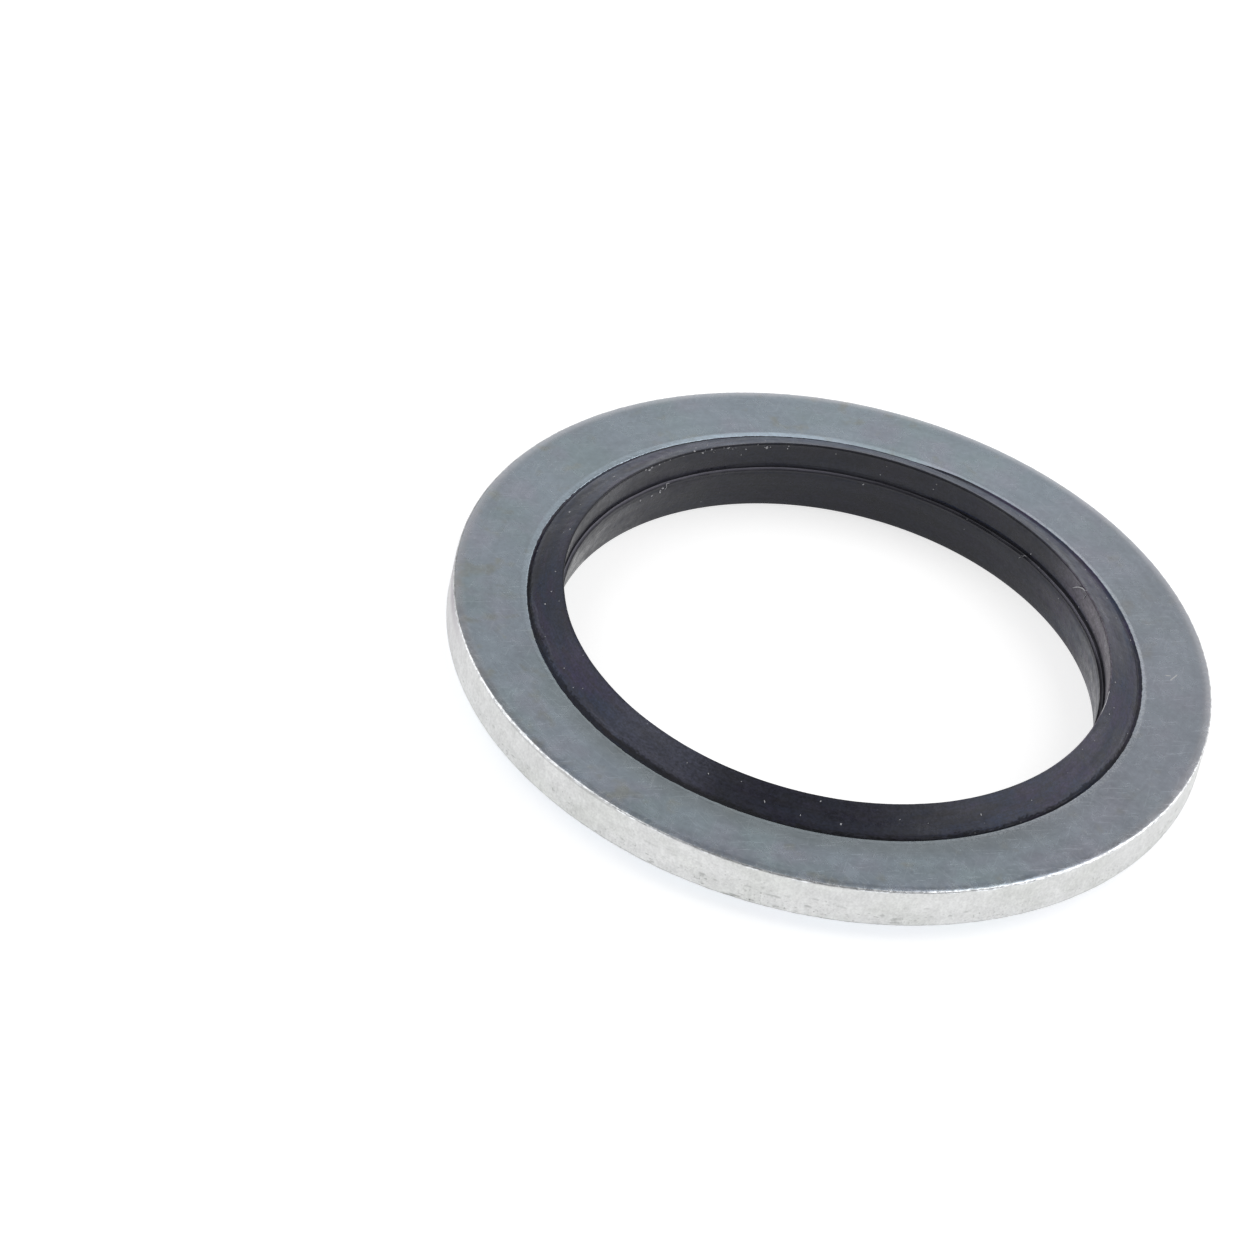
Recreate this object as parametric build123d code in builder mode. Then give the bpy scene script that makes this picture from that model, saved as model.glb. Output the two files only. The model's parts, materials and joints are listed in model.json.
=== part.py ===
from build123d import *
from math import sqrt
import os

# Bonded sealing washer for an M18 thread: a stamped steel ring with a rubber seal moulded to its bore.
# Millimetres. +Z is the washer's axis, and the origin is on it, level with the crest of the lower lip,
# which is what the washer rests on. Radii are measured from the axis and heights from the origin.

# Steel ring
ring_width = 2.6  # from its own bore to its rim
plate_thickness = 1.5
seat_edge_radius = 0.3  # on both edges of the ring's own bore
roll_width = 0.3  # the stamped rim's rolled-over upper edge, across the face
roll_depth = 0.14  # and down the rim
rim_edge_radius = 0.08  # the rim's lower edge

# Rubber seal
bore_dia = 18.7  # across the crests of the two lips
seal_width = 1.05  # from a crest to the ring's own bore
lip_height = 0.6  # how far each lip stands proud of the steel
crest_radius = 0.08
root_depth = 0.05  # where the rubber ends on the rounded edge of the steel, below its face
groove_width = 0.16  # the flat floor between the steel and the foot of a lip
shoulder_width = 0.1  # the steep foot of a lip
shoulder_height = 0.11

# Trimmed moulding line inside the seal
ledge_rise = 0.27  # above the middle of the plate
wall_lean = 0.07  # how far the upper wall leans out, from the crest down to the ledge
land_step = 0.15  # how far the land stands in from the crest
land_height = 0.15
bead_setback = 0.12  # from the land's edge to the middle of the thin bead on the ledge
bead_radius = 0.035

# Radii
crest_inner_r = bore_dia / 2
crest_centre_r = crest_inner_r + crest_radius
seat_r = crest_inner_r + seal_width
outer_r = seat_r + ring_width
land_r = crest_inner_r - land_step
ledge_outer_r = crest_inner_r + wall_lean
bead_r = land_r + bead_setback
root_rise = seat_edge_radius - root_depth
root_r = seat_r + seat_edge_radius - sqrt(seat_edge_radius**2 - root_rise**2)
groove_inner_r = root_r - groove_width
shoulder_r = groove_inner_r - shoulder_width

# Heights
lower_face_z = lip_height
upper_face_z = lower_face_z + plate_thickness
overall_height = upper_face_z + lip_height
ledge_z = lower_face_z + plate_thickness / 2 + ledge_rise
land_bottom_z = ledge_z - land_height
upper_root_z = upper_face_z - root_depth
lower_root_z = lower_face_z + root_depth
upper_seat_z = upper_face_z - seat_edge_radius
lower_seat_z = lower_face_z + seat_edge_radius


with BuildPart() as steel_washer:
    with BuildSketch(Plane.XZ) as ring_section:
        with BuildLine():
            rolled_edge = EllipticalCenterArc(
                (outer_r - roll_width, upper_face_z - roll_depth), roll_width, roll_depth, arc_size=90
            )
            Polyline(
                rolled_edge @ 1,
                (seat_r, upper_face_z),
                (seat_r, lower_face_z),
                (outer_r, lower_face_z),
                rolled_edge @ 0,
            )
        make_face()
        seat_corners = ring_section.vertices().group_by(Axis.X)[0]
        fillet(seat_corners, radius=seat_edge_radius)
        rim_corner = ring_section.vertices().group_by(Axis.Y)[0].sort_by(Axis.X)[-1]
        fillet(rim_corner, radius=rim_edge_radius)
    revolve(axis=Axis.Z)
steel_washer.part.label = "steel_washer"


with BuildPart() as rubber_seal:
    upper_shoulder = (shoulder_r, upper_root_z + shoulder_height)
    lower_shoulder = (shoulder_r, lower_root_z - shoulder_height)
    with BuildSketch(Plane.XZ):
        with BuildLine():
            # Upper lip: a straight slope and the leaning wall, both tangent to the round crest
            upper_round = CenterArc(
                (crest_centre_r, overall_height - crest_radius), crest_radius, 0, 360, mode=Mode.PRIVATE
            )
            upper_slope = ConstrainedLines(
                upper_round, upper_shoulder, selector=lambda lines: lines.sort_by(Axis.Y)[-1]
            )
            upper_wall = ConstrainedLines(
                upper_round, (ledge_outer_r, ledge_z), selector=lambda lines: lines.sort_by(Axis.X)[0]
            )
            ThreePointArc(upper_slope @ 0, (crest_centre_r, overall_height), upper_wall @ 0)

            # Moulding line: a ledge with a thin bead on it, and the narrow land where it was trimmed
            bead = CenterArc((bead_r, ledge_z), bead_radius, 0, 180)
            Line(upper_wall @ 1, bead @ 0)
            land = Line((land_r, ledge_z), (land_r, land_bottom_z))
            Line(bead @ 1, land @ 0)

            # Lower lip: the same crest and slope, with its wall starting from the land
            lower_round = CenterArc((crest_centre_r, crest_radius), crest_radius, 0, 360, mode=Mode.PRIVATE)
            lower_wall = ConstrainedLines(
                lower_round, land @ 1, selector=lambda lines: lines.sort_by(Axis.X)[0]
            )
            lower_slope = ConstrainedLines(
                lower_round, lower_shoulder, selector=lambda lines: lines.sort_by(Axis.Y)[0]
            )
            ThreePointArc(lower_wall @ 0, (crest_centre_r, 0), lower_slope @ 0)

            # Feet of the lips, down to where the rubber ends on the rounded edges of the steel
            upper_foot = Polyline(
                upper_shoulder, (groove_inner_r, upper_root_z), (root_r, upper_root_z)
            )
            lower_foot = Polyline(
                lower_shoulder, (groove_inner_r, lower_root_z), (root_r, lower_root_z)
            )

            # Outer side, moulded against the ring's bore and its rounded edges
            bonded_side = Line((seat_r, upper_seat_z), (seat_r, lower_seat_z))
            RadiusArc(upper_foot @ 1, bonded_side @ 0, -seat_edge_radius)
            RadiusArc(bonded_side @ 1, lower_foot @ 1, -seat_edge_radius)
        make_face()
    revolve(axis=Axis.Z)
rubber_seal.part.label = "rubber_seal"


os.makedirs("parts", exist_ok=True)
export_step(steel_washer.part, "parts/steel_washer.step")
export_step(rubber_seal.part, "parts/rubber_seal.step")
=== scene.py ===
"""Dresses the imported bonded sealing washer: a stamped, zinc-plated steel ring and its moulded rubber seal."""

import json
import logging
import math
import random
from dataclasses import dataclass, field
from enum import Enum
from functools import partial, reduce
from typing import Any, Callable

import bmesh
import bpy
from mathutils import Matrix, Vector, noise
from mathutils.bvhtree import BVHTree

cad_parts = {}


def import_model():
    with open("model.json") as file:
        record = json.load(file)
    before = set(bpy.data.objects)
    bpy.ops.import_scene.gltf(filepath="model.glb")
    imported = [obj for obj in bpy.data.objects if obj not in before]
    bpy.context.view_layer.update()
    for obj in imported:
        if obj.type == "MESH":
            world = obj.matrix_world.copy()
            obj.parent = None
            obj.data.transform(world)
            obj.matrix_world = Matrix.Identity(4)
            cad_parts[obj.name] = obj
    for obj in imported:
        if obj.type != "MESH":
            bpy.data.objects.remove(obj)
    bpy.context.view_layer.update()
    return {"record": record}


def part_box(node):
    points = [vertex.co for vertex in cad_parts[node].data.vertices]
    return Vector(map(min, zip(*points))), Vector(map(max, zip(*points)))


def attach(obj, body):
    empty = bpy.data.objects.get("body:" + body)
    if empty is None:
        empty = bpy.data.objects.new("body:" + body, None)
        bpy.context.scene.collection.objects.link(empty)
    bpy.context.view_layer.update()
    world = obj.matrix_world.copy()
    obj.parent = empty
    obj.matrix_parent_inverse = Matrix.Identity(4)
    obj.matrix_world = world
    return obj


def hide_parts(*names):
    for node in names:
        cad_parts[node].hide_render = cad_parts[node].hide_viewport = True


LOG = logging.getLogger("washer")

MM = 0.001
BODY = "root"
DOUBLINGS = 5
SECTORS = 2**DOUBLINGS
SCAR = "scar"
CREASE_DEG = 45.0
SAME_POINT_MM = 1e-6
WELD_M = 1e-7
MEAN_R = 11.0
SHAPE_SEED_STEP = 37.7
SHADER_SEED_STEP = 7.3
ABOUT_Z = {"rotation_type": "Z_AXIS"}

Point = tuple[float, float]
Color = tuple[float, float, float, float]
Triple = tuple[float, float, float]
Shift = Callable[[float, float, float], Triple]
Output = bpy.types.NodeSocket


class Slot(Enum):
    """Material slots of the record."""

    PLATED_STEEL = "plated_steel"
    SEAL_RUBBER = "seal_rubber"


class Socket(Enum):
    """Inputs of the Principled shader that the finishes set."""

    COLOR = "Base Color"
    METALLIC = "Metallic"
    ROUGHNESS = "Roughness"
    NORMAL = "Normal"
    SPECULAR = "Specular IOR Level"


@dataclass(frozen=True)
class WasherSizes:
    """Sizes of the washer in millimetres. Those without a default are read from the frame."""

    outer_r: float
    lower_face_z: float
    upper_face_z: float
    root_r: float
    top_z: float
    land_r: float
    ledge_z: float
    land_bottom_z: float
    seat_r: float = 10.4
    seat_edge: Point = (0.16, 0.11)
    roll_width: float = 0.25
    roll_drop: float = 0.022
    corner_radius: float = 0.07
    rim_edge_radius: float = 0.08
    crest_inner_r: float = 9.35
    crest_radius: float = 0.03
    crest_overhang: float = 0.015
    groove_width: float = 0.1
    groove_depth: float = 0.012
    shoulder_width: float = 0.1
    shoulder_height: float = 0.1
    wall_lean: float = 0.02
    undercut: Point = (0.07, 0.17)
    gutter_depth: float = 0.04
    gutter_rim: float = 0.02
    bead_setback: float = 0.13
    bead_radius: float = 0.02
    land_round: Point = (0.02, 0.1)
    root_low_r: float = 10.49

    @classmethod
    def from_frame(cls, record: dict[str, Any]) -> "WasherSizes":
        """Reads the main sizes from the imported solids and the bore's mount.

        Args:
            record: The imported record.

        Returns:
            The washer's sizes.
        """
        ring_low, ring_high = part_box("steel_washer")
        _, seal_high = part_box("rubber_seal")
        bore = next(mount for mount in record["mounts"] if mount["name"] == "bolt_bore")
        half_land = bore["dims"]["length_mm"] / 2
        land_z = bore["pos_m"][2] / MM
        return cls(
            outer_r=ring_high.x / MM,
            lower_face_z=ring_low.z / MM,
            upper_face_z=ring_high.z / MM,
            root_r=seal_high.x / MM,
            top_z=seal_high.z / MM,
            land_r=bore["dims"]["r_mm"],
            ledge_z=land_z + half_land,
            land_bottom_z=land_z - half_land,
        )

    def seat_drop(self, radius: float) -> float:
        """Gives the drop of the ring's rounded inner edge.

        Args:
            radius: Radius of a point on it.

        Returns:
            How far it lies under the ring's face there.
        """
        width, depth = self.seat_edge
        reach = min(max(self.seat_r + width - radius, 0.0), width) / width
        return depth * (1 - math.sqrt(1 - reach**2))


@dataclass
class Profile:
    """An outline in the plane of radius and height, in millimetres, grown point by point."""

    points: list[Point] = field(default_factory=list)

    def line_to(self, radius: float, height: float, steps: int = 1) -> None:
        """Adds a straight run to a point.

        Args:
            radius: Radius of the run's end.
            height: Height of the run's end.
            steps: Number of equal parts the run is divided into.
        """
        if not self.points:
            self.points.append((radius, height))
            return
        start_r, start_z = self.points[-1]
        for step in range(1, steps + 1):
            part = step / steps
            self.points.append((start_r + (radius - start_r) * part, start_z + (height - start_z) * part))

    def arc(self, centre: Point, radii: Point, start: float, end: float, steps: int) -> None:
        """Adds an elliptical arc, its first point included.

        Args:
            centre: Radius and height of the arc's centre.
            radii: Half width and half height of the ellipse.
            start: Angle of the first point in degrees, from the direction of growing radius.
            end: Angle of the last point in degrees.
            steps: Number of parts.
        """
        for step in range(steps + 1):
            angle = math.radians(start + (end - start) * step / steps)
            point = (centre[0] + radii[0] * math.cos(angle), centre[1] + radii[1] * math.sin(angle))
            if not self.points or math.dist(self.points[-1], point) > SAME_POINT_MM:
                self.points.append(point)


def ramp(value: float, low: float, high: float) -> float:
    """Goes smoothly from 0 at low to 1 at high, whichever of the two is larger."""
    part = min(max((value - low) / (high - low), 0.0), 1.0)
    return part * part * (3 - 2 * part)


@dataclass(frozen=True)
class Unevenness:
    """Random unevenness that closes on itself round the axis.

    Attributes:
        around: Size of its bumps along the ring, in millimetres.
        across: Their size across the ring's surface, in millimetres.
        seed: Tells one pattern from another.
        depth: Their depth where it is always the same, in millimetres.
    """

    around: float
    across: float
    seed: float
    depth: float = 1.0

    def at(self, radius: float, height: float, angle: float) -> float:
        """Gives the pattern's value at a point.

        Args:
            radius: Radius of the point, in millimetres.
            height: Its height, in millimetres.
            angle: Its angle, in radians.

        Returns:
            A number about from -depth to depth.
        """
        turn = radius / self.around
        layer = (radius - height) / self.across + self.seed * SHAPE_SEED_STEP
        return self.depth * noise.noise(Vector((math.cos(angle) * turn, math.sin(angle) * turn, layer)))


def spin_ring(name: str, profile: Profile, steps: int, shift: Shift) -> bpy.types.Object:
    """Spins a closed outline round the axis and moves its points by a formula.

    A small sector is spun and then doubled until it closes.

    Args:
        name: Name of the new piece.
        profile: The outline, which closes on itself.
        steps: Number of faces round the ring, a multiple of SECTORS.
        shift: Gives the moves in radius and height of the point at a radius, a height and an angle,
            and how scarred the surface is there, from 0 to 1.

    Returns:
        The ring, in metres, linked to the scene.
    """
    mesh = bpy.data.meshes.new(name)
    form = bmesh.new()
    ring = [form.verts.new((radius * MM, 0.0, height * MM)) for radius, height in profile.points]
    edges = [form.edges.new((ring[i], ring[(i + 1) % len(ring)])) for i in range(len(ring))]
    turned = math.tau / SECTORS
    bmesh.ops.spin(
        form, geom=ring + edges, cent=(0, 0, 0), axis=(0, 0, 1), angle=turned, steps=steps // SECTORS
    )
    for _ in range(DOUBLINGS):
        copy = bmesh.ops.duplicate(form, geom=form.verts[:] + form.edges[:] + form.faces[:])
        moved = [item for item in copy["geom"] if isinstance(item, bmesh.types.BMVert)]
        bmesh.ops.rotate(form, verts=moved, cent=(0, 0, 0), matrix=Matrix.Rotation(turned, 3, "Z"))
        turned *= 2
    bmesh.ops.remove_doubles(form, verts=form.verts, dist=WELD_M)
    bmesh.ops.recalc_face_normals(form, faces=form.faces)
    scars = form.verts.layers.float.new(SCAR)
    for vert in form.verts:
        radius = math.hypot(vert.co.x, vert.co.y)
        angle = math.atan2(vert.co.y, vert.co.x)
        outward, upward, scar = shift(radius / MM, vert.co.z / MM, angle)
        grown = 1 + outward * MM / radius
        vert.co = (vert.co.x * grown, vert.co.y * grown, vert.co.z + upward * MM)
        vert[scars] = scar
    return finish_mesh(name, form)


def finish_mesh(name: str, form: bmesh.types.BMesh) -> bpy.types.Object:
    """Turns a bmesh into an object in the scene, smooth but for its creases.

    Args:
        name: Name of the piece.
        form: Its shape, which is freed.

    Returns:
        The new object.
    """
    for face in form.faces:
        face.smooth = True
    for edge in form.edges:
        edge.smooth = len(edge.link_faces) != 2 or edge.calc_face_angle() < math.radians(CREASE_DEG)
    mesh = bpy.data.meshes.new(name)
    form.to_mesh(mesh)
    form.free()
    piece = bpy.data.objects.new(name, mesh)
    bpy.context.scene.collection.objects.link(piece)
    return piece


def dress(piece: bpy.types.Object, material: bpy.types.Material) -> None:
    """Lets a piece ride on the body and gives it its material.

    Args:
        piece: The piece.
        material: Its material.
    """
    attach(piece, BODY)
    piece.data.materials.append(material)
    LOG.info("%s: %d faces", piece.name, len(piece.data.polygons))


@dataclass(frozen=True)
class Pattern:
    """Noise in a material, mapped smoothly from one range to another.

    Attributes:
        size: Size of its largest patches in millimetres: one number, or their lengths along the ring or a
            scratch and across it.
        seed: Tells one pattern from another.
        detail: Number of finer layers.
        reach: Values of the noise between which it changes.
        result: What it gives at those two.
    """

    size: float | Point
    seed: float
    detail: float = 2.0
    reach: Point = (0.3, 0.7)
    result: Point = (0.0, 1.0)


@dataclass(frozen=True)
class Stroke:
    """One short scratch on a face.

    Attributes:
        place: X and Y of its middle, in millimetres.
        turn: Its direction in degrees from +X.
        size: Length and width, in millimetres.
    """

    place: Point
    turn: float
    size: Point


class Graph:
    """A material's node tree, with short calls that add and link its nodes."""

    def __init__(self, name: str) -> None:
        """Starts a material with a Principled shader and the coordinates that its patterns use.

        Args:
            name: Name of the material.
        """
        self.material = bpy.data.materials.new(name)
        self.material.use_nodes = True
        self.tree = self.material.node_tree
        self.shader = self.tree.nodes["Principled BSDF"]
        coords = self.add("ShaderNodeTexCoord").outputs["Object"]
        self.place = self.vector("SCALE", coords, Scale=1 / MM)
        parts = self.add("ShaderNodeSeparateXYZ", Vector=self.place)
        self.height = parts.outputs["Z"]
        flat = self.add("ShaderNodeCombineXYZ", X=parts.outputs["X"], Y=parts.outputs["Y"]).outputs[0]
        self.radius = self.vector("LENGTH", flat)
        self.heading = self.vector("NORMALIZE", flat)
        turned = self.add("ShaderNodeSeparateXYZ", Vector=self.heading)
        self.side = turned.outputs["X"]
        self.depth = turned.outputs["Y"]

    def add(self, kind: str, settings: dict[str, Any] | None = None, **inputs: Any) -> bpy.types.Node:
        """Adds a node.

        Args:
            kind: The node's type name.
            settings: Properties of the node itself.
            inputs: Values or outputs for its inputs, named with underscores for spaces.

        Returns:
            The new node.
        """
        node = self.tree.nodes.new(kind)
        for key, value in (settings or {}).items():
            setattr(node, key, value)
        for key, value in inputs.items():
            self.feed(node.inputs[key.replace("_", " ")], value)
        return node

    def feed(self, socket: bpy.types.NodeSocket, value: Any) -> None:
        """Links an output to an input, or sets the input's value.

        Args:
            socket: The input.
            value: An output, or a value.
        """
        if isinstance(value, Output):
            self.tree.links.new(value, socket)
        else:
            socket.default_value = value

    def fill(self, node: bpy.types.Node, *values: Any) -> bpy.types.Node:
        """Feeds values to a node's inputs in their order.

        Args:
            node: The node.
            values: The values or outputs.

        Returns:
            The node.
        """
        for socket, value in zip(node.inputs, values):
            self.feed(socket, value)
        return node

    def math(self, operation: str, *values: Any) -> Output:
        """Adds a Math node and returns its result."""
        return self.fill(self.add("ShaderNodeMath", {"operation": operation}), *values).outputs[0]

    def vector(self, operation: str, *values: Any, **inputs: Any) -> Output:
        """Adds a Vector Math node and returns its result."""
        node = self.fill(self.add("ShaderNodeVectorMath", {"operation": operation}, **inputs), *values)
        return node.outputs["Value" if operation == "LENGTH" else "Vector"]

    def span(self, value: Any, low: float, high: float, start: float = 0.0, end: float = 1.0) -> Any:
        """Maps a range of values smoothly to another.

        Args:
            value: The value to map.
            low: Where the range begins.
            high: Where it ends.
            start: Result at low.
            end: Result at high.

        Returns:
            The mapped value.
        """
        rising = low < high
        node = self.add(
            "ShaderNodeMapRange",
            {"interpolation_type": "SMOOTHSTEP"},
            Value=value,
            From_Min=low if rising else high,
            From_Max=high if rising else low,
            To_Min=start if rising else end,
            To_Max=end if rising else start,
        )
        return node.outputs[0]

    def mix(self, share: Any, first: Any, second: Any) -> Output:
        """Mixes two colours.

        Args:
            share: Share of the second, from 0 to 1.
            first: The first colour.
            second: The second colour.

        Returns:
            The mixed colour.
        """
        node = self.add("ShaderNodeMix", {"data_type": "RGBA"})
        self.feed(node.inputs[0], share)
        self.feed(node.inputs[6], first)
        self.feed(node.inputs[7], second)
        return node.outputs[2]

    def shade(self, color: Any, factor: Any) -> Output:
        """Multiplies a colour by a number and returns the result."""
        return self.vector("SCALE", color, Scale=factor)

    def darken(self, color: Any, mask: Any, factor: float) -> Output:
        """Multiplies a colour by a number where a mask is 1, and returns the result."""
        return self.shade(color, self.span(mask, 0.0, 1.0, 1.0, factor))

    def tint(self, color: Any, tone: Any, mask: Any, share: float = 1.0) -> Output:
        """Mixes a share of a tone into a colour where a mask is 1, and returns the result."""
        return self.mix(self.times(mask, share), color, tone)

    def noise(self, place: Any, size: float, seed: float, detail: float) -> Output:
        """Adds noise.

        Args:
            place: Coordinates in millimetres.
            size: Size of its largest patches, in the coordinates' unit.
            seed: Tells one pattern from another.
            detail: Number of finer layers.

        Returns:
            The noise, about 0.5 on average.
        """
        node = self.add(
            "ShaderNodeTexNoise",
            {"noise_dimensions": "4D"},
            Vector=place,
            W=seed * SHADER_SEED_STEP,
            Scale=1 / size,
            Detail=detail,
        )
        return node.outputs["Fac"]

    def plain(self, pattern: Pattern) -> Output:
        """Adds a pattern's noise without mapping it.

        Args:
            pattern: The pattern.

        Returns:
            The noise.
        """
        if isinstance(pattern.size, tuple):
            return self.noise(self.wrapped(*pattern.size), 1.0, pattern.seed, pattern.detail)
        return self.noise(self.place, pattern.size, pattern.seed, pattern.detail)

    def patterns(self, *patterns: Pattern) -> Output:
        """Adds patterns and multiplies them."""
        return self.times(*(self.span(self.plain(one), *one.reach, *one.result) for one in patterns))

    def wrapped(self, around: float, across: float) -> Output:
        """Gives coordinates that stretch a pattern round the axis.

        Args:
            around: Length of the pattern's unit along the ring, in millimetres.
            across: Its length across the surface, in millimetres.

        Returns:
            The coordinates.
        """
        turn = self.vector("SCALE", self.heading, Scale=MEAN_R / around)
        run = self.math("DIVIDE", self.math("SUBTRACT", self.radius, self.height), across)
        return self.vector("ADD", turn, self.add("ShaderNodeCombineXYZ", Z=run).outputs[0])

    def turned(self, place: Any, turn: float) -> Output:
        """Gives coordinates whose X runs along a direction in degrees from +X."""
        node = self.add("ShaderNodeVectorRotate", ABOUT_Z, Vector=place, Angle=math.radians(-turn))
        return node.outputs[0]

    def dots(self, cell: float, size: float, share: float) -> Output:
        """Marks small round dots.

        Args:
            cell: Mean distance between their possible places, in millimetres.
            size: Their largest radius.
            share: Share of the places that have one.

        Returns:
            1 inside a dot and 0 outside.
        """
        cells = self.add("ShaderNodeTexVoronoi", Vector=self.place, Scale=1 / cell)
        near = self.span(cells.outputs["Distance"], size * 1.3 / cell, size * 0.6 / cell)
        pick = self.add("ShaderNodeSeparateColor", Color=cells.outputs["Color"]).outputs[0]
        return self.times(near, self.math("LESS_THAN", pick, share))

    def hairlines(self, turn: float, pattern: Pattern) -> Output:
        """Marks fine, nearly straight scratches, which a slow noise bends a little.

        Args:
            turn: Their direction in degrees from +X.
            pattern: What they are like.

        Returns:
            1 on a scratch and 0 elsewhere.
        """
        bend = self.shade((0.6, 0.6, 0.6), self.noise(self.place, 4.0, pattern.seed + 0.5, 0.0))
        length, width = pattern.size
        turned = self.turned(self.vector("ADD", self.place, bend), turn)
        stretched = self.vector("MULTIPLY", turned, (1 / length, 1 / width, 1.0))
        return self.span(self.noise(stretched, 1.0, pattern.seed, pattern.detail), *pattern.reach)

    def stroke(self, stroke: Stroke, height: float) -> Output:
        """Marks one short scratch.

        Args:
            stroke: What it is like.
            height: Height of the face that it is on, in millimetres.

        Returns:
            1 on the scratch and 0 elsewhere.
        """
        length, width = stroke.size
        middle = self.vector("SUBTRACT", self.place, (*stroke.place, height))
        parts = self.add("ShaderNodeSeparateXYZ", Vector=self.turned(middle, stroke.turn)).outputs
        limits = {"X": (length / 2, length / 3), "Y": (width, width / 2), "Z": (length, length / 2)}
        return self.times(*(self.span(self.math("ABSOLUTE", parts[axis]), *limits[axis]) for axis in limits))

    def zone(self, pattern: Pattern | None = None, **limits: tuple[float, ...]) -> Output:
        """Marks a part of the surface.

        Args:
            pattern: A pattern that breaks it up.
            limits: For radius, height, side or depth, where the zone begins and where it is full. Two more
                numbers stand for what it gives there in place of 0 and 1.

        Returns:
            1 in the zone and 0 outside.
        """
        masks = [self.span(getattr(self, name), *limit) for name, limit in limits.items()]
        if pattern is not None:
            masks.append(self.patterns(pattern))
        return self.times(*masks)

    def total(self, *values: Any) -> Output:
        """Adds numbers up."""
        return reduce(partial(self.math, "ADD"), values)

    def times(self, *values: Any) -> Output:
        """Multiplies numbers."""
        return reduce(partial(self.math, "MULTIPLY"), values)

    def most(self, *values: Any) -> Output:
        """Takes the largest of some numbers."""
        return reduce(partial(self.math, "MAXIMUM"), values)

    def bump(self, height: Any, depth: float) -> None:
        """Gives the shader a relief.

        Args:
            height: The relief, where 1 is depth.
            depth: Its depth in millimetres.
        """
        node = self.add("ShaderNodeBump", Height=height, Distance=depth * MM, Strength=1.0)
        self.set(Socket.NORMAL, node.outputs[0])

    def scar(self) -> Output:
        """Reads how scarred the surface is."""
        return self.add("ShaderNodeAttribute", {"attribute_name": SCAR}).outputs["Fac"]

    def set(self, socket: Socket, value: Any) -> None:
        """Feeds an input of the Principled shader."""
        self.feed(self.shader.inputs[socket.value], value)


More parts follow.
